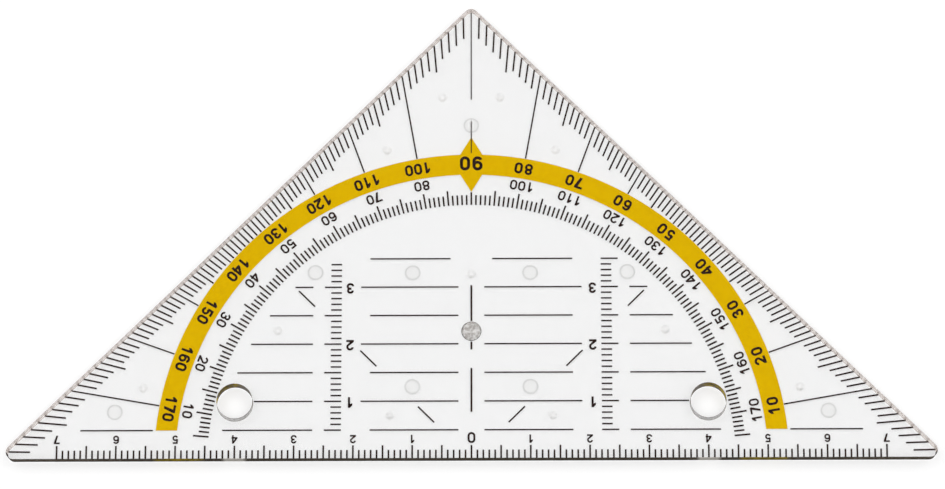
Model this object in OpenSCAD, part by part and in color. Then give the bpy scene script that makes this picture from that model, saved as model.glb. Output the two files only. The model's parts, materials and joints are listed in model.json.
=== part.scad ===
// Clear geometry set square with printed scales, in millimetres.
// The ruling edge runs along X, the right-angled corner points along +Y and +Z is up.
// The part lies on its nubs at Z = 0, and the print is on the underside, read through the plate.

/* [Plate] */
// Length of the ruling edge between its sharp corners
ruling_edge = 160.5; // [145:0.5:180]
// Thickness of the plate
plate_t = 2.5; // [1.6:0.1:4]
// Radius of the three corners
corner_r = 1.3; // [0.6:0.1:1.6]
// Diameter of the two through holes
hole_d = 6; // [4:0.1:6.4]
// Height of the hole centres above the ruling edge
hole_rise = 10; // [9:0.1:11]
// Room between each hole and the inner degree ticks
hole_tick_gap = 0.394; // [0.2:0.001:1]

/* [Moulding marks] */
// Diameter of a nub where it meets the plate
nub_d = 1.6; // [1:0.1:2]
// Diameter of a nub at its flat tip
nub_tip_d = 1; // [0.5:0.1:1]
// Height of the nubs, which hold the print off the paper
nub_h = 0.3; // [0.15:0.05:0.6]
// Distance of the upper nubs from the right-angled corner, along the leg
upper_nub_along = 14.9; // [12:0.1:16]
// Spacing of the two upper nubs on each leg
upper_nub_pitch = 13.4; // [10:0.1:15]
// Distance of the upper nubs from the leg
upper_nub_inset = 7.9; // [6:0.1:9]
// Distance of the outer nubs from the side corner, along the leg
tip_nub_along = 26.4; // [24:0.1:28]
// Distance of the outer nubs from the leg
tip_nub_inset = 8.5; // [7:0.1:9]
// Distance of the low nubs from the centre line
low_nub_x = 13.8; // [12:0.1:16]
// Room between the side nubs' centres and the inner degree ticks
side_nub_gap = 4.75; // [3.5:0.05:6]
// Height of the side nubs above the printed zero
side_nub_rise = 22.4; // [22:0.1:23]
// Room between the centre line's top and the middle of the nub above it
top_nub_gap = 2; // [1.5:0.1:3]
// Diameter of the ejector marks
ejector_d = 2.7; // [2:0.1:3]
// Depth of the ejector marks
ejector_depth = 0.03; // [0.01:0.01:0.1]
// Distance of the middle ejector marks from the centre line
ejector_x = 10; // [8:0.1:12]
// Room between the side ejector marks' centres and the inner degree ticks
ejector_gap = 2.5; // [2:0.1:3]
// Height of the side ejector marks above the printed zero
ejector_rise = 32.6; // [32.2:0.1:33]
// Distance of the outer ejector marks from the side corner, along the leg
tip_ejector_along = 20.1; // [18:0.1:22]
// Distance of the outer ejector marks from the leg
tip_ejector_inset = 8.1; // [7:0.1:9]
// Distance of the top ejector mark above the yellow band
top_ejector_rise = 5.2; // [4.8:0.1:6]
// Diameter of the frosted gate mark
gate_d = 3.4; // [2:0.1:4]
// Depth of the gate mark
gate_depth = 0.4; // [0.1:0.05:0.8]
// Height of the gate mark above the ruling edge
gate_rise = 22.5; // [22.4:0.05:23]

/* [Print] */
// Height of the printed zero above the ruling edge
print_rise = 0.3; // [0:0.05:0.5]
// Thickness of one layer of ink
ink_t = 0.03; // [0.02:0.01:0.05]
// Room left between the print and the edges of the plate
ink_edge_gap = 0.2; // [0.05:0.05:0.3]
// Room left between the yellow band and the black marks that run up to it
ink_gap = 0.05; // [0.02:0.01:0.2]

/* [Edge scale] */
// Room between the last centimetre and the side corner
scale_end_gap = 10; // [8:0.5:15]
// Width of a tick on the edge scale
edge_tick_w = 0.29; // [0.15:0.01:0.4]
// Reach of a millimetre tick from the ruling edge
edge_short_tick = 1.85; // [1:0.05:2.2]
// Reach of a five-millimetre tick from the ruling edge
edge_long_tick = 2.65; // [2.2:0.05:2.8]
// Room between the ticks and the numbers
edge_figure_gap = 0.35; // [0.2:0.05:0.4]
// Height of the centimetre numbers
edge_figure_h = 1.45; // [1:0.05:1.6]
// Height of the zero
zero_figure_h = 1.9; // [1.4:0.05:1.95]
// Stroke of the centimetre numbers
edge_stroke = 0.27; // [0.15:0.01:0.28]
// Stroke of the zero
zero_stroke = 0.34; // [0.2:0.01:0.35]

/* [Leg scales] */
// Width of a tick on the legs
leg_tick_w = 0.28; // [0.15:0.01:0.4]
// Depth of a one-degree tick, square to the leg
leg_short_tick = 2.95; // [1.5:0.05:3]
// Depth of a five-degree tick, square to the leg
leg_long_tick = 3.95; // [3.05:0.05:4.5]
// Width of a ten-degree line
ten_line_w = 0.25; // [0.15:0.01:0.4]

/* [Yellow band] */
// Room between the band and the middle of each leg
band_leg_gap = 2.96; // [2.8:0.02:4]
// Width of the band
band_w = 3.6; // [3:0.1:4.5]
// Width of the pointer at 90 degrees
pointer_w = 6; // [4:0.1:7]
// Height of the pointer at 90 degrees
pointer_h = 9.8; // [8:0.1:10.4]
// Height of the numbers on the band
band_figure_h = 2; // [1.4:0.05:2.2]
// Stroke of the numbers on the band
band_stroke = 0.42; // [0.2:0.01:0.44]
// Spacing of the figures in a two-figure number on the band
band_pair_pitch = 1.74; // [1.6:0.01:2]
// Spacing of the figures in a three-figure number on the band
band_triple_pitch = 1.56; // [1.56:0.01:1.8]
// Shift of the three-figure numbers on the band, along their line of reading
band_triple_shift = 0.15; // [-0.3:0.05:0.3]
// Height of the 90
ninety_h = 2.55; // [2:0.05:2.7]
// Stroke of the 90
ninety_stroke = 0.54; // [0.3:0.01:0.55]
// Spacing of the two figures in the 90
ninety_pitch = 2.15; // [2.1:0.05:2.4]
// Rise of the 90 above the middle of the band
ninety_rise = 0.2; // [0:0.05:0.25]

/* [Inner scale] */
// Room between the band and the inner numbers
inner_figure_gap = 0.42; // [0.2:0.02:0.8]
// Height of the inner numbers
inner_figure_h = 1.75; // [1.2:0.05:2]
// Stroke of the inner numbers
inner_stroke = 0.31; // [0.15:0.01:0.36]
// Spacing of the figures in an inner number
inner_pitch = 1.42; // [1.4:0.01:1.7]
// Shift of the three-figure inner numbers, along their line of reading
inner_triple_shift = -0.2; // [-0.3:0.05:0.3]
// Room between the inner numbers and the ticks
inner_tick_gap = 0.6; // [0.4:0.05:1]
// Length of a one-degree tick
inner_short_tick = 1.75; // [1:0.05:2.2]
// Length of a five-degree tick
inner_long_tick = 2.65; // [2.2:0.05:3]
// Width of an inner tick
inner_tick_w = 0.29; // [0.15:0.01:0.35]
// Least angle of the first inner tick, which also clears the numbers of the edge scale
inner_least_angle = 5; // [4:1:10]

/* [Parallel lines] */
// Spacing of the parallel lines
row_pitch = 5; // [4.8:0.1:5.2]
// Width of a parallel line
row_w = 0.24; // [0.15:0.01:0.4]
// Inner end of a line, from the centre line
row_start = 2.2; // [1.9:0.1:3]
// Inner end of the top line
top_row_start = 3.55; // [2.5:0.05:5]
// Room between a line and the number beside it
row_figure_gap = 1.2; // [0.6:0.05:2]
// How much earlier a line ends that has no number beside it
row_short_by = 1.55; // [0:0.05:2.5]
// Room between the height scale and the outer stretch of a line
row_scale_gap = 1.95; // [1:0.05:3]
// Room between the outer stretch of a line and the inner degree ticks
row_tick_gap = 2.15; // [1.5:0.05:3]
// Least length of an outer stretch
row_least = 2; // [1:0.1:2.8]
// Room between a line and a hole
row_hole_gap = 0.2; // [0.1:0.05:0.5]
// Length of the outer base lines
base_len = 12.25; // [8:0.05:13]
// Room between the band and the outer base lines
base_gap = 0.48; // [0.2:0.02:1]

/* [Height scales] */
// Distance of the scales from the centre line
height_x = 22.05; // [21.8:0.05:22.3]
// Length of a millimetre tick
height_short_tick = 1.8; // [1:0.05:2.2]
// Length of a five-millimetre tick
height_long_tick = 2.9; // [2.3:0.05:3.2]
// Width of a tick on the height scales
height_tick_w = 0.26; // [0.15:0.01:0.35]
// Least room between a height scale and the inner degree ticks
height_tick_gap = 0.8; // [0.5:0.05:1.5]
// Ticks that the left scale has fewer at its top
left_ticks_fewer = 1; // [0:1:4]
// Height of the numbers
height_figure_h = 1.85; // [1.2:0.05:2]
// Stroke of the numbers
height_stroke = 0.36; // [0.15:0.01:0.36]
// Distance of the middle of the numbers from the scale
height_figure_gap = 1.45; // [1.2:0.05:1.6]
// Drop of the numbers below their line
height_figure_drop = 0.2; // [0:0.05:0.4]

/* [Centre lines] */
// Width of the line to the right-angled corner
ninety_line_w = 0.19; // [0.15:0.01:0.4]
// Room between the 90 degree line and the band
ninety_line_gap = 0.26; // [0.1:0.02:0.6]
// Start of the bare panel above the band
blank_rise = 6; // [5:0.1:8]
// Height of the bare panel
blank_h = 3.9; // [3:0.1:5]
// Width of the lower centre line
centre_w = 0.32; // [0.15:0.01:0.4]
// Top of the lower centre line above the printed zero
centre_top = 30.3; // [29.5:0.1:30.6]
// Bottom of its upper stretch
centre_break_top = 19; // [18.5:0.1:19.8]
// Top of its lower stretch
centre_break_foot = 15.75; // [15.5:0.05:16.5]
// Foot of the lower centre line
centre_foot = 8.1; // [7:0.1:9]
// Room between the centre line and the gate mark
centre_gate_gap = 0.1; // [0.05:0.05:0.3]

/* [Diagonal marks] */
// Start of the first mark, measured along X
diagonal_first = 6.3; // [6:0.1:6.6]
// Room between the second mark and the height number above it
diagonal_figure_gap = 1.11; // [0.5:0.01:1.2]
// Start of the third mark, measured along X
diagonal_third = 26.6; // [26.4:0.1:26.8]
// Reach of a mark, measured along X
diagonal_run = 2.75; // [2:0.05:2.9]
// Width of a mark
diagonal_w = 0.26; // [0.15:0.01:0.4]

/* [Hidden] */
$fn = 64;

// Width of a figure in heights, and how far a cutter runs past a face
figure_aspect = 0.69;
cut_over = 0.5;

// Corners of the plate
apex_y = ruling_edge / 2;
leg_len = apex_y * sqrt(2);
side_corner_back = corner_r / tan(22.5);
tip_x = apex_y - side_corner_back + corner_r;
apex_back = corner_r * (sqrt(2) - 1);

// Radii of the protractor, from the printed zero outwards
leg_reach = (apex_y - print_rise) / sqrt(2);
band_r1 = leg_reach - band_leg_gap;
band_r0 = band_r1 - band_w;
band_mid_r = (band_r0 + band_r1) / 2;
inner_figure_r = band_r0 - inner_figure_gap - inner_figure_h / 2;
inner_tick_r1 = inner_figure_r - inner_figure_h / 2 - inner_tick_gap;
inner_tick_r0 = inner_tick_r1 - inner_long_tick;
row_limit_r = inner_tick_r0 - row_tick_gap;
pointer_foot = band_mid_r - pointer_h / 2;

// Holes, with their height counted from the printed zero
hole_r = hole_d / 2;
hole_y = hole_rise - print_rise;
hole_x = sqrt(pow(inner_tick_r0 - hole_tick_gap - hole_r, 2) - hole_y * hole_y);

// Rows and ticks that fit inside the inner scale
edge_half = floor((apex_y - scale_end_gap) / 10) * 10;
edge_figure_foot = edge_long_tick - print_rise + edge_figure_gap;
edge_figure_top = edge_figure_foot + edge_figure_h;
height_figure_x = height_x - height_figure_gap;
height_figure_edge = height_figure_x - figure_aspect * height_figure_h / 2;
figure_row_end = height_figure_edge - row_figure_gap;
row_end = figure_row_end - row_short_by;
rows = floor(sqrt(row_limit_r * row_limit_r - row_end * row_end) / row_pitch);
height_end = height_x + height_long_tick;
height_top = floor(sqrt(pow(inner_tick_r0 - height_tick_gap, 2) - height_end * height_end));
row_outer_start = height_end + row_scale_gap;
gate_y = gate_rise - print_rise;
diagonal_second = height_figure_edge - diagonal_figure_gap - diagonal_run;
diagonal_limit = row_limit_r / sqrt(2) - diagonal_run;

black = [0.16, 0.14, 0.14];
yellow = [0.87, 0.7, 0];
clear = [0.93, 0.94, 0.94, 0.45];

// A point at a distance along the right leg from the apex, and at a distance in from it
function leg_point(along, inset) = [(along - inset) / sqrt(2), apex_y - (along + inset) / sqrt(2)];

// The same point measured from the side corner
function tip_point(along, inset) = leg_point(leg_len - along, inset);

// The point on the right side at a radius and a height, both from the printed zero
function ring_point(r, y) = [sqrt(r * r - y * y), y + print_rise];

// Nubs and ejector marks on the right side, in the frame of the plate
nub_points = [
    leg_point(upper_nub_along, upper_nub_inset),
    leg_point(upper_nub_along + upper_nub_pitch, upper_nub_inset),
    tip_point(tip_nub_along, tip_nub_inset),
    ring_point(inner_tick_r0 - side_nub_gap, side_nub_rise),
    [low_nub_x, 1.5 * row_pitch + print_rise]];
top_nub_y = centre_top + top_nub_gap + print_rise;
ejector_points = [
    tip_point(tip_ejector_along, tip_ejector_inset),
    ring_point(inner_tick_r0 - ejector_gap, ejector_rise),
    [ejector_x, 6.5 * row_pitch + print_rise],
    [ejector_x, 2.5 * row_pitch + print_rise]];
top_ejector_y = band_r1 + top_ejector_rise + print_rise;

// Whether an inner tick passes above the edge numbers, or between two of them
function inner_tick_clear(a) = let (keep = edge_figure_gap + figure_aspect * edge_figure_h / 2)
    inner_tick_r0 * sin(a) > edge_figure_top + edge_figure_gap
    || floor((inner_tick_r0 * cos(a) - keep) / 10) == floor((inner_tick_r1 * cos(a) + keep) / 10);

// First angle from which the inner ticks clear the edge numbers
function inner_start(a) = inner_tick_clear(a) ? a : inner_start(a + 1);

// Figures of a number, first to last
function figures(n) = n >= 100 ? concat(figures(floor(n / 10)), [n % 10])
    : n >= 10 ? [floor(n / 10), n % 10] : [n];

// Radius of a point on a line parallel to the right leg, seen from the printed zero
function leg_r(a, depth) = (leg_reach - depth) / cos(a - 45);

// Outer end of a leg tick, kept inside the rounded side corner
function leg_tick_r1(a) = min(leg_r(a, ink_edge_gap), (tip_x - 1.5 * ink_edge_gap) / cos(a));

// Inner end of a leg tick, kept off the band
function leg_tick_r0(a) = max(leg_r(a, a % 5 == 0 ? leg_long_tick : leg_short_tick), band_r1 + ink_gap);

// Outer end of a row, kept inside the inner scale and off the hole
function row_outer_end(y) = let (dy = y - hole_y, keep = hole_r + row_hole_gap,
    free = sqrt(row_limit_r * row_limit_r - y * y))
    abs(dy) < keep ? min(free, hole_x - sqrt(keep * keep - dy * dy)) : free;

// Flat outline of the plate: straight edges that run into three round corners
module outline() {
    side_x = apex_y - side_corner_back;
    slope = corner_r / sqrt(2);
    top_y = apex_y - corner_r * sqrt(2);
    polygon([[-side_x, 0], [side_x, 0], [side_x + slope, corner_r + slope], [slope, top_y + slope],
        [-slope, top_y + slope], [-side_x - slope, corner_r + slope]]);
    for (x = [-side_x, side_x]) translate([x, corner_r]) circle(corner_r);
    translate([0, top_y]) circle(corner_r);
}

// Copies children to both sides of the centre line
module both_sides() {
    children();
    mirror([1, 0, 0]) children();
}

// A nub that widens from its flat tip to the plate
module nub(at) {
    translate(at) cylinder(h = nub_h, d1 = nub_tip_d, d2 = nub_d);
}

// A shallow round mark cut into the underside
module underside_mark(at, d, depth) {
    translate([at[0], at[1], nub_h - cut_over]) cylinder(h = depth + cut_over, d = d);
}

// Moves flat children to the underside of the plate as one layer of ink
module ink(colour, layers = 1, over = 0) {
    color(colour) translate([0, print_rise, nub_h - layers * ink_t])
        linear_extrude(layers * ink_t + over) children();
}

// A bar along X between two distances
module bar(x0, x1, w) {
    translate([x0, -w / 2]) square([x1 - x0, w]);
}

// A radial tick
module tick(a, r0, r1, w) {
    rotate(a) bar(r0, r1, w);
}

// Wedge between two angles
module wedge(reach, a0, a1) {
    steps = 4;
    polygon(concat([[0, 0]], [for (k = [0 : steps])
        let (a = a0 + (a1 - a0) * k / steps) reach * [cos(a), sin(a)]]));
}

// Part of a ring between two angles
module arch(r, s, a0, a1) {
    intersection() {
        difference() {
            circle(r);
            circle(r - s);
        }
        wedge(2 * r, a0, a1);
    }
}

// A level bar with round ends
module stadium(w, h) {
    square([w - h, h], center = true);
    for (side = [-1, 1]) translate([side * (w - h) / 2, 0]) circle(h / 2);
}

// The figures stand on y = 0 and are centred on x = 0: h is the height, w the width and s the stroke
module figure_0(h, w, s) {
    translate([0, h - w / 2]) arch(w / 2, s, 0, 180);
    translate([0, w / 2]) arch(w / 2, s, 180, 360);
    for (x = [-w / 2, w / 2 - s]) translate([x, w / 2]) square([s, h - w]);
}

module figure_1(h, w, s) {
    stem = -0.05 * w;
    translate([stem, 0]) square([s, h]);
    polygon([[stem + s / 2, h], [stem, h], [stem - 0.3 * w, h - 0.24 * h],
        [stem - 0.3 * w, h - 0.24 * h - s], [stem + s / 2, h - 0.2 * h - s / 2]]);
}

module figure_2(h, w, s) {
    r = w / 2;
    turn = -38;
    lap = turn + 14;
    eye = [0, h - r];
    heel = eye + (r - 0.95 * s) * [cos(lap), sin(lap)];
    bend = eye + (r - 0.08 * s) * [cos(lap), sin(lap)];
    translate(eye) arch(r, s, turn, 172);
    polygon([bend, heel, [-r, s], [-r, s / 2], [1.4 * s - r, s / 2]]);
    translate([-r, 0]) square([w, s]);
}

// Two round bowls, the upper one smaller, which share a bar one stroke thick
module bowls(h, w, s) {
    low_h = 0.53 * h + s / 2;
    high_h = h - low_h + s;
    high_w = 0.9 * w;
    difference() {
        union() {
            translate([0, low_h / 2]) stadium(w, low_h);
            translate([0, h - high_h / 2]) stadium(high_w, high_h);
        }
        translate([0, low_h / 2]) stadium(w - 2 * s, low_h - 2 * s);
        translate([0, h - high_h / 2]) stadium(high_w - 2 * s, high_h - 2 * s);
    }
}

module figure_3(h, w, s) {
    difference() {
        bowls(h, w, s);
        translate([-w, 0.3 * h]) square([0.86 * w, 0.41 * h]);
    }
}

module figure_4(h, w, s) {
    stem = 0.14 * w;
    shelf = 0.22 * h;
    translate([stem, 0]) square([s, h]);
    translate([-w / 2, shelf]) square([w, s]);
    polygon([[stem + s / 2, h], [stem, h], [-w / 2, shelf + 0.9 * s], [-w / 2, shelf + s / 2],
        [1.2 * s - w / 2, shelf + s / 2], [stem + s / 2, h - 0.8 * s]]);
}

module figure_5(h, w, s) {
    r = 0.48 * w;
    left = -0.42 * w;
    translate([0, r]) arch(r, s, -160, 150);
    translate([left, h - s]) square([0.82 * w, s]);
    polygon([[left + s, h - s / 2], [left, h - s / 2],
        [left - 0.12 * s, 1.35 * r], [left + 0.88 * s, 1.35 * r]]);
}

module figure_6(h, w, s) {
    r = w / 2;
    translate([0, r]) difference() {
        circle(r);
        circle(r - s);
    }
    translate([-r, r]) square([s, h - w]);
    translate([0, h - r]) arch(r, s, 22, 180);
}

module figure_7(h, w, s) {
    r = w / 2;
    translate([-r, h - s]) square([w, s]);
    polygon([[r, h - s], [r, h - s / 2], [r - 1.25 * s, h - s / 2],
        [-0.22 * w, 0], [1.15 * s - 0.22 * w, 0]]);
}

module figure(n, h, s) {
    w = figure_aspect * h;
    if (n == 0) figure_0(h, w, s);
    if (n == 1) figure_1(h, w, s);
    if (n == 2) figure_2(h, w, s);
    if (n == 3) figure_3(h, w, s);
    if (n == 4) figure_4(h, w, s);
    if (n == 5) figure_5(h, w, s);
    if (n == 6) figure_6(h, w, s);
    if (n == 7) figure_7(h, w, s);
    if (n == 8) bowls(h, w, s);
    if (n == 9) translate([0, h]) rotate(180) figure_6(h, w, s);
}

// A number with its middle at a point, read with the ruling edge at the top
module number(n, at, h, s, pitch = 0, turn = 180) {
    marks = figures(n);
    translate(at) rotate(turn) for (i = [0 : len(marks) - 1])
        translate([(i - (len(marks) - 1) / 2) * pitch, -h / 2]) figure(marks[i], h, s);
}

// A number on the protractor, its head towards the printed zero
module arc_number(n, a, r, h, s, pitch, shift = 0) {
    number(n, r * [cos(a), sin(a)] + (n < 100 ? 0 : shift) * [-sin(a), cos(a)], h, s, pitch, a + 90);
}

module band_shape() {
    intersection() {
        difference() {
            circle(band_r1);
            circle(band_r0);
        }
        translate([-band_r1, row_pitch]) square([2 * band_r1, band_r1]);
    }
    translate([0, band_mid_r]) polygon([[pointer_w / 2, 0], [0, pointer_h / 2],
        [-pointer_w / 2, 0], [0, -pointer_h / 2]]);
}

module band_numbers_shape() {
    for (n = [10 : 10 : 170]) if (n != 90)
        arc_number(n, n, band_mid_r, band_figure_h, band_stroke,
            n < 100 ? band_pair_pitch : band_triple_pitch, band_triple_shift);
    arc_number(90, 90, band_mid_r + ninety_rise, ninety_h, ninety_stroke, ninety_pitch);
}

module ninety_line_shape() {
    blank_foot = band_r1 + blank_rise;
    rotate(90) bar(band_r1 + ninety_line_gap, blank_foot, ninety_line_w);
    rotate(90) bar(blank_foot + blank_h, apex_y - print_rise - apex_back - ink_edge_gap, ninety_line_w);
}

module leg_ticks_shape() {
    for (a = [1 : 89]) if (a % 10 != 0) tick(a, leg_tick_r0(a), leg_tick_r1(a), leg_tick_w);
}

module ten_lines_shape() {
    for (a = [10 : 10 : 80]) tick(a, band_r1 + ink_gap, leg_tick_r1(a), ten_line_w);
}

module height_ticks_shape(top) {
    for (y = [row_pitch : 1 : top]) translate([0, y])
        bar(height_x, height_x + (y % 5 == 0 ? height_long_tick : height_short_tick), height_tick_w);
}

module rows_shape() {
    for (k = [1 : rows]) {
        y = k * row_pitch;
        end = row_outer_end(y);
        translate([0, y]) bar(k == rows ? top_row_start : row_start,
            k % 2 == 0 ? figure_row_end : row_end, row_w);
        if (end - row_outer_start > row_least) translate([0, y]) bar(row_outer_start, end, row_w);
    }
}

// Clear moulding
module plate() {
    color(clear) difference() {
        union() {
            translate([0, 0, nub_h]) linear_extrude(plate_t) outline();
            for (at = nub_points) both_sides() nub(at);
            nub([0, top_nub_y]);
        }
        for (x = [-hole_x, hole_x]) translate([x, hole_rise, -cut_over])
            cylinder(h = nub_h + plate_t + 2 * cut_over, d = hole_d);
        for (at = ejector_points) both_sides() underside_mark(at, ejector_d, ejector_depth);
        underside_mark([0, top_ejector_y], ejector_d, ejector_depth);
        underside_mark([0, gate_rise], gate_d, gate_depth);
    }
}

// Yellow ink over the black figures, which it leaves room for
module yellow_degree_band() {
    difference() {
        ink(yellow, 2) band_shape();
        ink(black, 1, cut_over) band_numbers_shape();
        ink(black, 1, cut_over) ninety_line_shape();
    }
}

module edge_millimetre_ticks() {
    ink(black) for (x = [-edge_half : edge_half]) translate([x, 0]) rotate(90)
        bar(ink_edge_gap - print_rise,
            (x % 5 == 0 ? edge_long_tick : edge_short_tick) - print_rise, edge_tick_w);
}

module edge_centimetre_numbers() {
    ink(black) {
        number(0, [0, edge_figure_foot + zero_figure_h / 2], zero_figure_h, zero_stroke);
        for (n = [1 : edge_half / 10], side = [-1, 1])
            number(n, [10 * n * side, edge_figure_foot + edge_figure_h / 2], edge_figure_h, edge_stroke);
    }
}

module left_leg_degree_ticks() {
    ink(black) mirror([1, 0]) leg_ticks_shape();
}

module right_leg_degree_ticks() {
    ink(black) leg_ticks_shape();
}

module left_ten_degree_lines() {
    ink(black) mirror([1, 0]) ten_lines_shape();
}

module right_ten_degree_lines() {
    ink(black) ten_lines_shape();
}

module inner_degree_ticks() {
    first = inner_start(inner_least_angle);
    ink(black) for (a = [first : 180 - first])
        tick(a, inner_tick_r0, a == 90 ? min(inner_tick_r1, pointer_foot - ink_gap)
            : a % 5 == 0 ? inner_tick_r1 : inner_tick_r0 + inner_short_tick, inner_tick_w);
}

module band_degree_numbers() {
    ink(black) band_numbers_shape();
}

module inner_degree_numbers() {
    ink(black) for (a = [10 : 10 : 170]) if (a != 90)
        arc_number(180 - a, a, inner_figure_r, inner_figure_h, inner_stroke, inner_pitch,
            inner_triple_shift);
}

module left_parallel_lines() {
    ink(black) mirror([1, 0]) rows_shape();
}

module right_parallel_lines() {
    ink(black) rows_shape();
}

module left_height_ticks() {
    ink(black) mirror([1, 0]) height_ticks_shape(height_top - left_ticks_fewer);
}

module right_height_ticks() {
    ink(black) height_ticks_shape(height_top);
}

module height_numbers() {
    ink(black) for (n = [1 : floor(rows / 2)], side = [-1, 1])
        number(n, [side * height_figure_x, 2 * n * row_pitch - height_figure_drop],
            height_figure_h, height_stroke);
}

module ninety_degree_line() {
    ink(black) ninety_line_shape();
}

module lower_centre_line() {
    keep = gate_d / 2 + centre_gate_gap;
    ink(black) rotate(90) {
        bar(gate_y + keep, centre_top, centre_w);
        bar(centre_break_top, gate_y - keep, centre_w);
        bar(centre_foot, centre_break_foot, centre_w);
    }
}

module diagonal_marks() {
    ink(black) both_sides() for (start = [diagonal_first, diagonal_second, diagonal_third])
        if (start < diagonal_limit)
            rotate(45) bar(start * sqrt(2), (start + diagonal_run) * sqrt(2), diagonal_w);
}

module outer_base_lines() {
    start = sqrt(band_r1 * band_r1 - row_pitch * row_pitch) + base_gap;
    ink(black) both_sides() translate([0, row_pitch]) bar(start, start + base_len, row_w);
}

plate();
yellow_degree_band();
edge_millimetre_ticks();
edge_centimetre_numbers();
left_leg_degree_ticks();
right_leg_degree_ticks();
left_ten_degree_lines();
right_ten_degree_lines();
inner_degree_ticks();
band_degree_numbers();
inner_degree_numbers();
left_parallel_lines();
right_parallel_lines();
left_height_ticks();
right_height_ticks();
height_numbers();
ninety_degree_line();
lower_centre_line();
diagonal_marks();
outer_base_lines();
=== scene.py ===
import json
import math

import bmesh
import bpy
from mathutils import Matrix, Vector


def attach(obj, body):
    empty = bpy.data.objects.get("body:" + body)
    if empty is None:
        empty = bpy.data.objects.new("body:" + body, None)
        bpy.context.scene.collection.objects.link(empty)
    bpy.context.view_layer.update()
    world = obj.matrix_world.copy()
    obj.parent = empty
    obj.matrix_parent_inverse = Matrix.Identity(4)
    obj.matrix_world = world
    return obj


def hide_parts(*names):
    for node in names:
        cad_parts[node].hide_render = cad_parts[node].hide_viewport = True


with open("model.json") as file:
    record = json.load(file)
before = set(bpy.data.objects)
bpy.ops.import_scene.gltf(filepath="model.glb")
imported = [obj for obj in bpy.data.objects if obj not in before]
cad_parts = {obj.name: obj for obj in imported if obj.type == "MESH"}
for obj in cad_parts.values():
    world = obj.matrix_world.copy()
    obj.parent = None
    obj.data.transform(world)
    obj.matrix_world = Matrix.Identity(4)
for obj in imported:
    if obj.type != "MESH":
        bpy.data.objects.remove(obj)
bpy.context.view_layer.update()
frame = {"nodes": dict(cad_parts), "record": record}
mounts = {m["name"]: m for m in frame["record"]["mounts"]}
mm = 0.001
print("frame loaded:", len(frame["nodes"]), "nodes")


# Shared helpers

def linear(hexColour):
    # sRGB hex to linear RGBA
    out = []
    for k in (0, 2, 4):
        v = int(hexColour.lstrip("#")[k:k + 2], 16) / 255
        out.append(v / 12.92 if v <= 0.04045 else ((v + 0.055) / 1.055) ** 2.4)
    return (*out, 1.0)


def addNode(tree, kind, settings=None, links=None):
    # settings go to sockets where the node has one of that name or number, else to the node itself
    node = tree.nodes.new(kind)
    for key, value in (settings or {}).items():
        if isinstance(key, int) or key in node.inputs:
            node.inputs[key].default_value = value
        else:
            setattr(node, key, value)
    for key, socket in (links or {}).items():
        tree.links.new(socket, node.inputs[key])
    return node


def newMaterial(name):
    material = bpy.data.materials.new(name)
    material.use_nodes = True
    material.node_tree.nodes.clear()
    return material, material.node_tree


def perMetre(sizeMm):
    # texture scale that gives features of this size on Object coordinates
    return 1 / (sizeMm * mm)


# Camera, at the photograph's angle
camera = {
    "placeMm": (6.67, -174.93, 748.31),
    "turnDeg": (15.892, 0.507, -0.038),
    "lensMm": 173.33,
    "sensorMm": 36.0,
    "nearestMm": 10.0,
}


def makeCamera():
    data = bpy.data.cameras.new("camera")
    data.sensor_fit = "HORIZONTAL"
    data.sensor_width = camera["sensorMm"]
    data.lens = camera["lensMm"]
    data.clip_start = camera["nearestMm"] * mm
    view = bpy.data.objects.new("camera", data)
    view.location = Vector(camera["placeMm"]) * mm
    view.rotation_euler = [math.radians(a) for a in camera["turnDeg"]]
    bpy.context.scene.collection.objects.link(view)
    bpy.context.scene.camera = view


makeCamera()
print("camera set")


# Plate: injection moulding, made from stacked rings so that every rim keeps its small round (sizes in mm)
plate = {
    "rulingEdge": 160.5,
    "thickness": 2.5,
    "cornerRadius": 1.3,
    "nubHeight": 0.3,
    "rimRound": 0.04,
    "rimStepsDeg": (0, 30, 60, 90),
    "rulingDraft": 0.11,     # how much smaller the underside is at the ruling edge
    "legDraft": 0.26,        # and at the legs
    "holeDraft": 0.05,
    "holeLean": 0.12,        # how far a hole's lower rim lies nearer the ruling edge
    "holeTurn": 0.4,         # below its middle by this much, a hole's far wall turns into its near wall
    "inkGap": 0.001,         # the underside stays this far above the ink
    "slack": 0.004,          # keeps the round corners inside the solid's facets
    "mergeDistance": 0.0001,
    "cornerSteps": 12,
    "holeSegments": 96,
    "markSegments": 64,
    "sharpDeg": 50,
    "flatNormal": 0.9999,    # faces whose normal is this upright belong to the two flat faces
}

# Marks on the underside. A profile gives each ring's radius and its height, downwards negative.
# The places in "pairs" are on the right, and each has a twin on the left.
nubs = {
    "profile": [(0.79, 0.0), (0.73, -0.02), (0.655, -0.055), (0.56, -0.105), (0.465, -0.155),
                (0.37, -0.205), (0.275, -0.25), (0.18, -0.28), (0.09, -0.295)],
    "pairs": [(4.95, 64.13), (14.43, 54.65), (55.57, 12.66), (32.9, 22.7), (13.8, 7.8)],
    "middle": (0.0, 32.6),
}
ejectorMarks = {
    "profile": [(1.35, 0.0), (1.3, 0.008), (1.21, 0.022), (1.12, 0.028), (1.05, 0.03)],
    "pairs": [(60.31, 8.49), (26.57, 32.9), (10.0, 32.8), (10.0, 12.8)],
    "middle": (0.0, 59.07),
}
gateDish = {
    "profile": [(1.7, 0.0), (1.67, 0.08), (1.58, 0.2), (1.4, 0.3), (1.1, 0.36), (0.72, 0.38),
                (0.5, 0.33), (0.38, 0.27), (0.2, 0.25)],
    "pairs": [],
    "middle": (0.0, 22.5),
}


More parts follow.
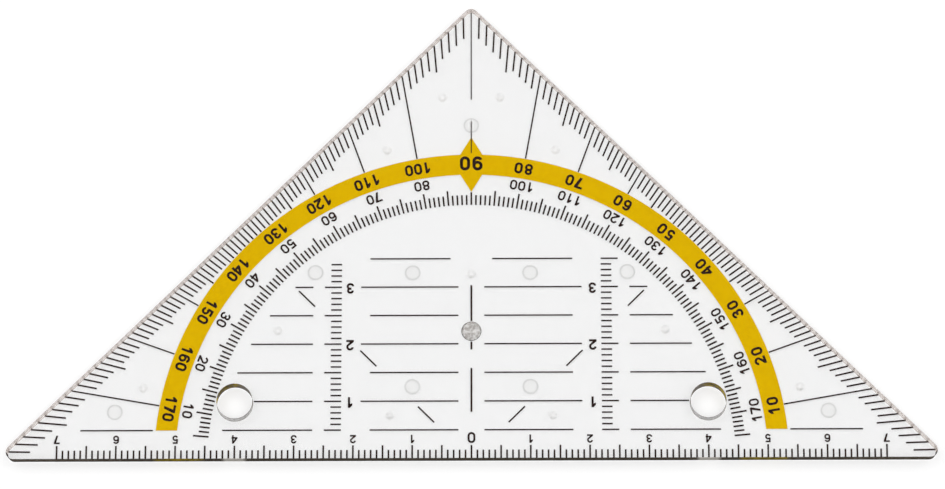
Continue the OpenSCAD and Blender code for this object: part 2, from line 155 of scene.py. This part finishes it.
def outlineLoop(bm, ruling, leg, z):
    # three corner arcs, spun from their tangent points and joined by straight edges
    # ruling and leg: how far the two kinds of side lie inside the outline
    half = plate["rulingEdge"] / 2 * mm
    slack = plate["slack"] * mm
    radius = plate["cornerRadius"] * mm - slack - (ruling + leg) / 2
    low = ruling + slack + radius
    apex = half - (leg + slack + radius) * math.sqrt(2)
    corners = [               # centre, start and turn of each arc, in degrees
        (Vector((apex - low, low, z)), -90, 135),
        (Vector((0, apex, z)), 45, 90),
        (Vector((low - apex, low, z)), 135, 135),
    ]
    arcs = []
    edges = []
    for centre, startDeg, turnDeg in corners:
        start = math.radians(startDeg)
        first = bm.verts.new(centre + Vector((math.cos(start), math.sin(start), 0)) * radius)
        before = set(bm.verts)
        made = bmesh.ops.spin(bm, geom=[first], cent=centre, axis=(0, 0, 1), angle=math.radians(turnDeg),
                              steps=plate["cornerSteps"], use_merge=False, use_duplicate=False)
        last = [v for v in made["geom_last"] if isinstance(v, bmesh.types.BMVert)][0]
        chain = {first} | (set(bm.verts) - before)
        edges += list({e for v in chain for e in v.link_edges})
        arcs.append((first, last))
    for k in range(3):
        edges.append(bm.edges.new((arcs[k][1], arcs[(k + 1) % 3][0])))
    return edges


def circleLoop(bm, place, radius, z, segments):
    made = bmesh.ops.create_circle(bm, cap_ends=False, segments=segments, radius=radius)
    bmesh.ops.translate(bm, verts=made["verts"], vec=(place[0], place[1], z))
    return list({e for v in made["verts"] for e in v.link_edges})


def stackLoops(bm, loops):
    made = []
    for lower, upper in zip(loops[:-1], loops[1:]):
        made += bmesh.ops.bridge_loops(bm, edges=lower + upper)["faces"]
    return made


def wallSteps(low, high):
    # rings of a wall from its lower rim to its upper rim: inset by the round, share of the draft, height
    rim = plate["rimRound"] * mm
    curve = [(1 - math.sin(a), 1 - math.cos(a)) for a in map(math.radians, plate["rimStepsDeg"])]
    lower = [(rim * inset, 1, low + rim * rise) for inset, rise in curve]
    upper = [(rim * inset, 0, high - rim * rise) for inset, rise in reversed(curve)]
    return lower + upper


def holeRings(bm, place, radius, steps):
    rings = []
    for inset, share, z in steps:
        centre = (place[0], place[1] - share * plate["holeLean"] * mm)
        width = radius + inset + share * plate["holeDraft"] * mm
        rings.append(circleLoop(bm, centre, width, z, plate["holeSegments"]))
    return rings


def marksOnUnderside(bm, marks, z):
    # each mark: rings from the plate's face to its middle, closed by one face
    rims = []
    rings = []
    caps = []
    places = [(side * x, y) for x, y in marks["pairs"] for side in (-1, 1)] + [marks["middle"]]
    for x, y in places:
        loops = [circleLoop(bm, (x * mm, y * mm), r * mm, z + h * mm, plate["markSegments"])
                 for r, h in marks["profile"]]
        rims += loops[0]
        rings += stackLoops(bm, loops)
        caps += bmesh.ops.edgeloop_fill(bm, edges=loops[-1])["faces"]
    return rims, rings, caps


def makePlate(finishes):
    # finishes: the material of each kind of face, in slot order; faces of no kind take the first
    bm = bmesh.new()
    kinds = {kind: [] for kind in finishes}
    low = (plate["nubHeight"] + plate["inkGap"]) * mm
    high = (plate["nubHeight"] + plate["thickness"]) * mm
    steps = wallSteps(low, high)
    sides = []
    for inset, share, z in steps:
        ruling = inset + share * plate["rulingDraft"] * mm
        leg = inset + share * plate["legDraft"] * mm
        sides.append(outlineLoop(bm, ruling, leg, z))
    wallFaces = stackLoops(bm, sides)
    floorLoops = list(sides[0])
    topLoops = list(sides[-1])
    for name in ("left_hole", "right_hole"):
        place = mounts[name]["pos_m"]
        turnY = place[1] - plate["holeTurn"] * mm
        rings = holeRings(bm, place, mounts[name]["dims"]["r_mm"] * mm, steps)
        for f in stackLoops(bm, rings):
            kinds["farHole" if f.calc_center_median().y > turnY else "nearHole"].append(f)
        floorLoops += rings[0]
        topLoops += rings[-1]
    groups = ((nubs, "nub", "nub"), (ejectorMarks, "ring", "disc"), (gateDish, "gate", "gate"))
    for marks, ringKind, capKind in groups:
        rims, rings, caps = marksOnUnderside(bm, marks, low)
        floorLoops += rims
        kinds[ringKind] += rings
        kinds[capKind] += caps
    bmesh.ops.triangle_fill(bm, use_beauty=True, use_dissolve=False, edges=topLoops, normal=(0, 0, 1))
    bmesh.ops.triangle_fill(bm, use_beauty=True, use_dissolve=False, edges=floorLoops, normal=(0, 0, -1))
    bmesh.ops.remove_doubles(bm, verts=bm.verts, dist=plate["mergeDistance"] * mm)
    bmesh.ops.recalc_face_normals(bm, faces=bm.faces)
    for f in wallFaces:
        kinds["ruling" if f.calc_center_median().y < plate["cornerRadius"] * mm else "leg"].append(f)
    for slot, kind in enumerate(finishes):
        for f in kinds[kind]:
            f.material_index = slot
    openEdges = sum(1 for e in bm.edges if len(e.link_faces) != 2)
    print("plate:", len(bm.faces), "faces,", openEdges, "open edges")
    mesh = bpy.data.meshes.new("plateMoulding")
    bm.to_mesh(mesh)
    bm.free()
    for m in finishes.values():
        mesh.materials.append(m)
    mesh.set_sharp_from_angle(angle=math.radians(plate["sharpDeg"]))
    for f in mesh.polygons:
        f.use_smooth = abs(f.normal.z) < plate["flatNormal"]
    piece = bpy.data.objects.new("plateMoulding", mesh)
    bpy.context.scene.collection.objects.link(piece)
    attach(piece, "root")
    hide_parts("plate")


# Acrylic, injection moulded in a polished tool: water clear, with slow flow waves and a few hairlines
acrylic = {
    "tint": "#f6f6f6",
    "ior": 1.49,
    "waveMm": 9.0,
    "waveStretch": 0.45,     # the waves are drawn out along the flow, from the gate to the corner
    "waveHeightMm": 0.0015,
    "waveBump": 0.2,
    "scratchLengthMm": 9.0,
    "scratchWidthMm": 0.12,  # real hairlines are finer, drawn wide enough to show
    "scratchTurnDeg": 24,
    "scratchRange": (0.74, 0.8),
    "smooth": 0.008,
    "scratched": 0.16,
}


def makeAcrylic():
    material, tree = newMaterial("clearAcrylic")
    place = addNode(tree, "ShaderNodeTexCoord")
    flow = addNode(tree, "ShaderNodeMapping", {"Scale": (1.0, acrylic["waveStretch"], 1.0)},
                   {"Vector": place.outputs["Object"]})
    wave = addNode(tree, "ShaderNodeTexNoise", {"Scale": perMetre(acrylic["waveMm"]), "Detail": 1.0},
                   {"Vector": flow.outputs["Vector"]})
    along = perMetre(acrylic["scratchLengthMm"])
    across = perMetre(acrylic["scratchWidthMm"])
    turn = (0, 0, math.radians(acrylic["scratchTurnDeg"]))
    rub = addNode(tree, "ShaderNodeMapping", {"Rotation": turn, "Scale": (along, across, 1.0)},
                  {"Vector": place.outputs["Object"]})
    line = addNode(tree, "ShaderNodeTexNoise", {"Scale": 1.0, "Detail": 2.0, "Roughness": 0.4},
                   {"Vector": rub.outputs["Vector"]})
    rare = addNode(tree, "ShaderNodeMapRange",
                   {"From Min": acrylic["scratchRange"][0], "From Max": acrylic["scratchRange"][1]},
                   {"Value": line.outputs["Fac"]})
    rough = addNode(tree, "ShaderNodeMapRange",
                    {"To Min": acrylic["smooth"], "To Max": acrylic["scratched"]},
                    {"Value": rare.outputs["Result"]})
    bump = addNode(tree, "ShaderNodeBump",
                   {"Strength": acrylic["waveBump"], "Distance": acrylic["waveHeightMm"] * mm},
                   {"Height": wave.outputs["Fac"]})
    shader = addNode(tree, "ShaderNodeBsdfPrincipled",
                     {"Base Color": linear(acrylic["tint"]), "IOR": acrylic["ior"],
                      "Transmission Weight": 1.0},
                     {"Roughness": rough.outputs["Result"], "Normal": bump.outputs["Normal"]})
    addNode(tree, "ShaderNodeOutputMaterial", None, {"Surface": shader.outputs["BSDF"]})
    return material


# Acrylic at the walls of the mould: duller than the faces, with a matt grain. On the ruling edge and the hole
# walls the grain's colour is painted shade, so that these walls read as grey and dark lines, and olive and
# yellow painted light stands where the yellow print shines into them
edge = {
    "tint": "#f3ece4",
    "lineMm": 0.25,
    "lineLengthMm": 4.0,     # fine lines upright on the wall, as the mould opens
    "lineHeightMm": 0.004,
    "lineBump": 0.3,
    "shareRange": (0.3, 0.7),
    "spotMm": 1.4,
    "spotRange": (0.4, 0.7),
    "printX": 49.4,          # the feet of the yellow band, either side of the middle
    "holeX": 40.0,
    "pale": "#ddd7ce",       # painted light: the ruling edge catches light from the holes
}
# share: how much of the wall is grain, with its painted shade
# printMm and paleMm: between which distances the painted light of the print and of the holes fades out
legFinish = {
    "rough": (0.3, 0.42),
    "share": (0.42, 0.56),
    "grainAndPaintedShade": "#e4d9cf",
    "innerShader": "ShaderNodeBsdfTransparent",
    "inner": "#ebddd6",
}
# the ruling edge's dark brown grain, outside and inside, is painted shade standing in for the shadowed floor
# that the wall mirrors
rulingFinish = {
    "rough": (0.03, 0.09),
    "share": (0.88, 0.97),
    "grainAndPaintedShade": "#4e4437",
    "innerShader": "ShaderNodeBsdfDiffuse",
    "inner": "#4e4437",
    # olive and yellow: painted light from the yellow print, led along the plate into the ruling edge
    "olive": "#6f5f18",
    "yellow": "#b89d14",
    "printMm": (3.2, 4.8),
    "paleMm": (1.3, 2.3),
}
# the far hole wall's grey-brown grain is painted shade, and its olive and yellow are painted light from the
# yellow print
farHoleFinish = {
    "rough": (0.05, 0.12),
    "share": (0.65, 0.9),
    "grainAndPaintedShade": "#8d8377",
    "innerShader": "ShaderNodeBsdfDiffuse",
    "inner": "#8d8377",
    "olive": "#7a6614",
    "yellow": "#e8c818",
    "printMm": (8.9, 11.4),
}
# the near hole wall's grey-brown grain is painted shade
nearHoleFinish = {
    "rough": (0.25, 0.4),
    "share": (0.35, 0.55),
    "grainAndPaintedShade": "#8d8377",
    "innerShader": "ShaderNodeBsdfDiffuse",
    "inner": "#8d8377",
}


def nearX(tree, place, x, reach):
    # 1 at this distance from the plate's middle on both sides, fading to 0 over the reach
    along = addNode(tree, "ShaderNodeSeparateXYZ", None, {"Vector": place.outputs["Object"]})
    side = addNode(tree, "ShaderNodeMath", {"operation": "ABSOLUTE"}, {0: along.outputs["X"]})
    apart = addNode(tree, "ShaderNodeMath", {"operation": "SUBTRACT", 1: x * mm}, {0: side.outputs[0]})
    away = addNode(tree, "ShaderNodeMath", {"operation": "ABSOLUTE"}, {0: apart.outputs[0]})
    fade = addNode(tree, "ShaderNodeMapRange",
                   {"interpolation_type": "SMOOTHSTEP", "From Min": reach[0] * mm,
                    "From Max": reach[1] * mm, "To Min": 1.0, "To Max": 0.0},
                   {"Value": away.outputs[0]})
    return fade.outputs["Result"]


def paintedShadeAndGlowColour(tree, place, finish):
    # painted light over the grain's painted shade: olive with yellow spots where the print is near, and pale
    # in front of the holes
    spot = addNode(tree, "ShaderNodeTexNoise", {"Scale": perMetre(edge["spotMm"]), "Detail": 1.0},
                   {"Vector": place.outputs["Object"]})
    shine = addNode(tree, "ShaderNodeMapRange",
                    {"From Min": edge["spotRange"][0], "From Max": edge["spotRange"][1]},
                    {"Value": spot.outputs["Fac"]})
    paintedPrintGlow = addNode(tree, "ShaderNodeMix",
                      {"data_type": "RGBA", 6: linear(finish["olive"]), 7: linear(finish["yellow"])},
                      {"Factor": shine.outputs["Result"]})
    nearPrint = nearX(tree, place, edge["printX"], finish["printMm"])
    colour = addNode(tree, "ShaderNodeMix", {"data_type": "RGBA", 6: linear(finish["grainAndPaintedShade"])},
                     {"Factor": nearPrint, 7: paintedPrintGlow.outputs[2]})
    # painted light: pale on the ruling edge in front of the holes
    if "paleMm" in finish:
        nearHole = nearX(tree, place, edge["holeX"], finish["paleMm"])
        colour = addNode(tree, "ShaderNodeMix", {"data_type": "RGBA", 7: linear(edge["pale"])},
                         {"Factor": nearHole, 6: colour.outputs[2]})
    return colour.outputs[2]


def makeEdge(name, finish):
    material, tree = newMaterial(name)
    place = addNode(tree, "ShaderNodeTexCoord")
    fine = perMetre(edge["lineMm"])
    upright = addNode(tree, "ShaderNodeMapping", {"Scale": (fine, fine, perMetre(edge["lineLengthMm"]))},
                      {"Vector": place.outputs["Object"]})
    line = addNode(tree, "ShaderNodeTexNoise", {"Scale": 1.0, "Detail": 2.0},
                   {"Vector": upright.outputs["Vector"]})
    rough = addNode(tree, "ShaderNodeMapRange",
                    {"To Min": finish["rough"][0], "To Max": finish["rough"][1]},
                    {"Value": line.outputs["Fac"]})
    bump = addNode(tree, "ShaderNodeBump",
                   {"Strength": edge["lineBump"], "Distance": edge["lineHeightMm"] * mm},
                   {"Height": line.outputs["Fac"]})
    glass = addNode(tree, "ShaderNodeBsdfPrincipled",
                    {"Base Color": linear(edge["tint"]), "IOR": acrylic["ior"], "Transmission Weight": 1.0},
                    {"Roughness": rough.outputs["Result"], "Normal": bump.outputs["Normal"]})
    share = addNode(tree, "ShaderNodeMapRange",
                    {"From Min": edge["shareRange"][0], "From Max": edge["shareRange"][1],
                     "To Min": finish["share"][0], "To Max": finish["share"][1]},
                    {"Value": line.outputs["Fac"]})
    # the grain is matt from outside, painted shade on the ruling edge and the hole walls, and on the legs it
    # lets the light from inside go straight through
    outer = addNode(tree, "ShaderNodeBsdfDiffuse", {"Color": linear(finish["grainAndPaintedShade"])})
    if "printMm" in finish:
        tree.links.new(paintedShadeAndGlowColour(tree, place, finish), outer.inputs["Color"])
    inner = addNode(tree, finish["innerShader"], {"Color": linear(finish["inner"])})
    hit = addNode(tree, "ShaderNodeNewGeometry")
    grainAndPaintedShade = addNode(tree, "ShaderNodeMixShader", None,
                    {0: hit.outputs["Backfacing"], 1: outer.outputs["BSDF"], 2: inner.outputs["BSDF"]})
    mixed = addNode(tree, "ShaderNodeMixShader", None,
                    {0: share.outputs["Result"], 1: glass.outputs["BSDF"], 2: grainAndPaintedShade.outputs["Shader"]})
    addNode(tree, "ShaderNodeOutputMaterial", None, {"Surface": mixed.outputs[0]})
    return material


# Acrylic at the nubs and ejector marks: satin from the pins of the mould, so they read as faint grey discs
nubFinish = {"tint": "#fefefd", "rough": 0.52, "grainMm": 0.25, "grainHeightMm": 0.002, "bump": 0.4}
discFinish = {"tint": "#f1f1f0", "rough": 0.36, "grainMm": 0.35, "grainHeightMm": 0.01, "bump": 0.4}
ringFinish = {"tint": "#dcdcdb", "rough": 0.7, "grainMm": 0.25, "grainHeightMm": 0.01, "bump": 0.4}


def makeSatin(name, satin):
    material, tree = newMaterial(name)
    place = addNode(tree, "ShaderNodeTexCoord")
    grainAndPaintedShade = addNode(tree, "ShaderNodeTexNoise", {"Scale": perMetre(satin["grainMm"]), "Detail": 3.0},
                    {"Vector": place.outputs["Object"]})
    bump = addNode(tree, "ShaderNodeBump",
                   {"Strength": satin["bump"], "Distance": satin["grainHeightMm"] * mm},
                   {"Height": grainAndPaintedShade.outputs["Fac"]})
    shader = addNode(tree, "ShaderNodeBsdfPrincipled",
                     {"Base Color": linear(satin["tint"]), "IOR": acrylic["ior"],
                      "Transmission Weight": 1.0, "Roughness": satin["rough"]},
                     {"Normal": bump.outputs["Normal"]})
    addNode(tree, "ShaderNodeOutputMaterial", None, {"Surface": shader.outputs["BSDF"]})
    return material


# Acrylic torn off at the gate: frosted, grey and rough, with paler crushed spots
gateFinish = {
    "tint": "#aca49e",
    "pale": "#fdfbf8",
    "crushedRange": (0.4, 0.6),
    "clearShare": 0.75,
    "rough": 0.45,
    "grainMm": 0.42,
    "grainHeightMm": 0.12,
    "bump": 0.8,
}


def makeGate():
    material, tree = newMaterial("frostedAcrylicGate")
    place = addNode(tree, "ShaderNodeTexCoord")
    grainAndPaintedShade = addNode(tree, "ShaderNodeTexNoise", {"Scale": perMetre(gateFinish["grainMm"]), "Detail": 4.0},
                    {"Vector": place.outputs["Object"]})
    crushed = addNode(tree, "ShaderNodeMapRange",
                      {"From Min": gateFinish["crushedRange"][0], "From Max": gateFinish["crushedRange"][1]},
                      {"Value": grainAndPaintedShade.outputs["Fac"]})
    colour = addNode(tree, "ShaderNodeMix",
                     {"data_type": "RGBA", 6: linear(gateFinish["tint"]), 7: linear(gateFinish["pale"])},
                     {"Factor": crushed.outputs["Result"]})
    bump = addNode(tree, "ShaderNodeBump",
                   {"Strength": gateFinish["bump"], "Distance": gateFinish["grainHeightMm"] * mm},
                   {"Height": grainAndPaintedShade.outputs["Fac"]})
    shader = addNode(tree, "ShaderNodeBsdfPrincipled",
                     {"IOR": acrylic["ior"], "Transmission Weight": gateFinish["clearShare"],
                      "Roughness": gateFinish["rough"]},
                     {"Base Color": colour.outputs[2], "Normal": bump.outputs["Normal"]})
    addNode(tree, "ShaderNodeOutputMaterial", None, {"Surface": shader.outputs["BSDF"]})
    return material


makePlate({
    "face": makeAcrylic(),
    "leg": makeEdge("legAcrylicEdge", legFinish),
    "ruling": makeEdge("rulingAcrylicEdge", rulingFinish),
    "farHole": makeEdge("farHoleAcrylicWall", farHoleFinish),
    "nearHole": makeEdge("nearHoleAcrylicWall", nearHoleFinish),
    "nub": makeSatin("satinAcrylicNub", nubFinish),
    "ring": makeSatin("satinAcrylicRing", ringFinish),
    "disc": makeSatin("satinAcrylicDisc", discFinish),
    "gate": makeGate(),
})
print("plate made")


# Screen ink, cured on the acrylic: dense and even, with a fine mottle where the film is thinner
inkFilm = {
    "thinRange": (0.45, 0.75),
    "heightMm": 0.002,
    "bump": 0.2,
    "ior": 1.5,
}
blackInk = {"colour": "#332421", "thin": "#443330", "mottleMm": 0.35, "rough": 0.5}
yellowInk = {"colour": "#f8cc00", "thin": "#f2c200", "mottleMm": 0.6, "rough": 0.45}


def makeInk(name, ink):
    material, tree = newMaterial(name)
    place = addNode(tree, "ShaderNodeTexCoord")
    mottle = addNode(tree, "ShaderNodeTexNoise", {"Scale": perMetre(ink["mottleMm"]), "Detail": 3.0},
                     {"Vector": place.outputs["Object"]})
    thin = addNode(tree, "ShaderNodeMapRange",
                   {"From Min": inkFilm["thinRange"][0], "From Max": inkFilm["thinRange"][1]},
                   {"Value": mottle.outputs["Fac"]})
    colour = addNode(tree, "ShaderNodeMix",
                     {"data_type": "RGBA", 6: linear(ink["colour"]), 7: linear(ink["thin"])},
                     {"Factor": thin.outputs["Result"]})
    bump = addNode(tree, "ShaderNodeBump",
                   {"Strength": inkFilm["bump"], "Distance": inkFilm["heightMm"] * mm},
                   {"Height": mottle.outputs["Fac"]})
    shader = addNode(tree, "ShaderNodeBsdfPrincipled",
                     {"Roughness": ink["rough"], "IOR": inkFilm["ior"], "Specular IOR Level": 0.0},
                     {"Base Color": colour.outputs[2], "Normal": bump.outputs["Normal"]})
    addNode(tree, "ShaderNodeOutputMaterial", None, {"Surface": shader.outputs["BSDF"]})
    return material


black = makeInk("blackScreenInk", blackInk)
yellow = makeInk("yellowScreenInk", yellowInk)
for name, node in frame["nodes"].items():
    if name != "plate":
        node.data.materials.clear()
        node.data.materials.append(yellow if name == "yellow_degree_band" else black)
print("inks set")


# Floor: white card under the plate. The glow is only for what the camera sees, direct or through the plate.
floor = {"colour": "#b8b8b8", "glow": 0.61, "half": 6.0}


def makeFloor():
    bm = bmesh.new()
    bmesh.ops.create_grid(bm, x_segments=1, y_segments=1, size=floor["half"])
    mesh = bpy.data.meshes.new("floor")
    bm.to_mesh(mesh)
    bm.free()
    card, tree = newMaterial("whiteCard")
    path = addNode(tree, "ShaderNodeLightPath")
    seen = addNode(tree, "ShaderNodeMath", {"operation": "MAXIMUM"},
                   {0: path.outputs["Is Camera Ray"], 1: path.outputs["Is Glossy Ray"]})
    through = addNode(tree, "ShaderNodeMath", {"operation": "MAXIMUM"},
                      {0: seen.outputs[0], 1: path.outputs["Is Transmission Ray"]})
    glow = addNode(tree, "ShaderNodeMath", {"operation": "MULTIPLY", 1: floor["glow"]},
                   {0: through.outputs[0]})
    light = addNode(tree, "ShaderNodeEmission", None, {"Strength": glow.outputs[0]})
    paper = addNode(tree, "ShaderNodeBsdfDiffuse", {"Color": linear(floor["colour"])})
    both = addNode(tree, "ShaderNodeAddShader", None, {0: paper.outputs[0], 1: light.outputs[0]})
    addNode(tree, "ShaderNodeOutputMaterial", None, {"Surface": both.outputs[0]})
    mesh.materials.append(card)
    piece = bpy.data.objects.new("floor", mesh)
    bpy.context.scene.collection.objects.link(piece)


makeFloor()


# Light: a soft dome over a dim room, stronger from behind, with a dark flag where the plate would mirror it
dome = {
    "dim": 0.1,
    "bright": 1.5,
    "startHeight": 0.5,
    "fullHeight": 0.78,
    "backShare": 0.3,        # how much stronger the light is from behind than from the sides
    "flagTowards": (0.0, 0.276, 0.961),
    "flagInnerDeg": 11,
    "flagOuterDeg": 22,
    "flagLeft": 0.02,
}
softBoxes = {
    "places": {"leftBox": (-0.8, 0.3, 0.9), "rightBox": (0.8, 0.3, 0.9)},
    "aim": (0, 0.035, 0),
    "size": 0.7,
    "watts": 1.6,
}


def makeDome():
    world = bpy.data.worlds.new("room")
    bpy.context.scene.world = world
    world.use_nodes = True
    tree = world.node_tree
    tree.nodes.clear()
    towards = addNode(tree, "ShaderNodeTexCoord").outputs["Generated"]
    axes = addNode(tree, "ShaderNodeSeparateXYZ", None, {"Vector": towards})
    height = addNode(tree, "ShaderNodeMapRange",
                     {"interpolation_type": "SMOOTHSTEP", "From Min": dome["startHeight"],
                      "From Max": dome["fullHeight"], "To Min": dome["dim"], "To Max": dome["bright"]},
                     {"Value": axes.outputs["Z"]})
    back = addNode(tree, "ShaderNodeMapRange",
                   {"From Min": -1.0, "To Min": 1 - dome["backShare"], "To Max": 1 + dome["backShare"]},
                   {"Value": axes.outputs["Y"]})
    turn = addNode(tree, "ShaderNodeVectorMath", {"operation": "DOT_PRODUCT", 1: dome["flagTowards"]},
                   {0: towards})
    outer = math.cos(math.radians(dome["flagOuterDeg"]))
    inner = math.cos(math.radians(dome["flagInnerDeg"]))
    flag = addNode(tree, "ShaderNodeMapRange",
                   {"interpolation_type": "SMOOTHSTEP", "From Min": outer, "From Max": inner,
                    "To Min": 1.0, "To Max": dome["flagLeft"]},
                   {"Value": turn.outputs["Value"]})
    shaped = addNode(tree, "ShaderNodeMath", {"operation": "MULTIPLY"},
                     {0: height.outputs["Result"], 1: back.outputs["Result"]})
    level = addNode(tree, "ShaderNodeMath", {"operation": "MULTIPLY"},
                    {0: shaped.outputs[0], 1: flag.outputs["Result"]})
    sky = addNode(tree, "ShaderNodeBackground", {"Color": (1, 1, 1, 1)}, {"Strength": level.outputs[0]})
    addNode(tree, "ShaderNodeOutputWorld", None, {"Surface": sky.outputs[0]})


def makeSoftBoxes():
    for name, place in softBoxes["places"].items():
        data = bpy.data.lights.new(name, "AREA")
        data.shape = "RECTANGLE"
        data.size = softBoxes["size"]
        data.size_y = softBoxes["size"]
        data.energy = softBoxes["watts"]
        lamp = bpy.data.objects.new(name, data)
        lamp.location = place
        lamp.rotation_euler = (Vector(softBoxes["aim"]) - Vector(place)).to_track_quat("-Z", "Y").to_euler()
        bpy.context.scene.collection.objects.link(lamp)


makeDome()
makeSoftBoxes()
bpy.context.scene.view_settings.view_transform = "Standard"
bpy.context.scene.cycles.blur_glossy = 0.0   # light keeps its direction through the clear plate
print("floor and light set")
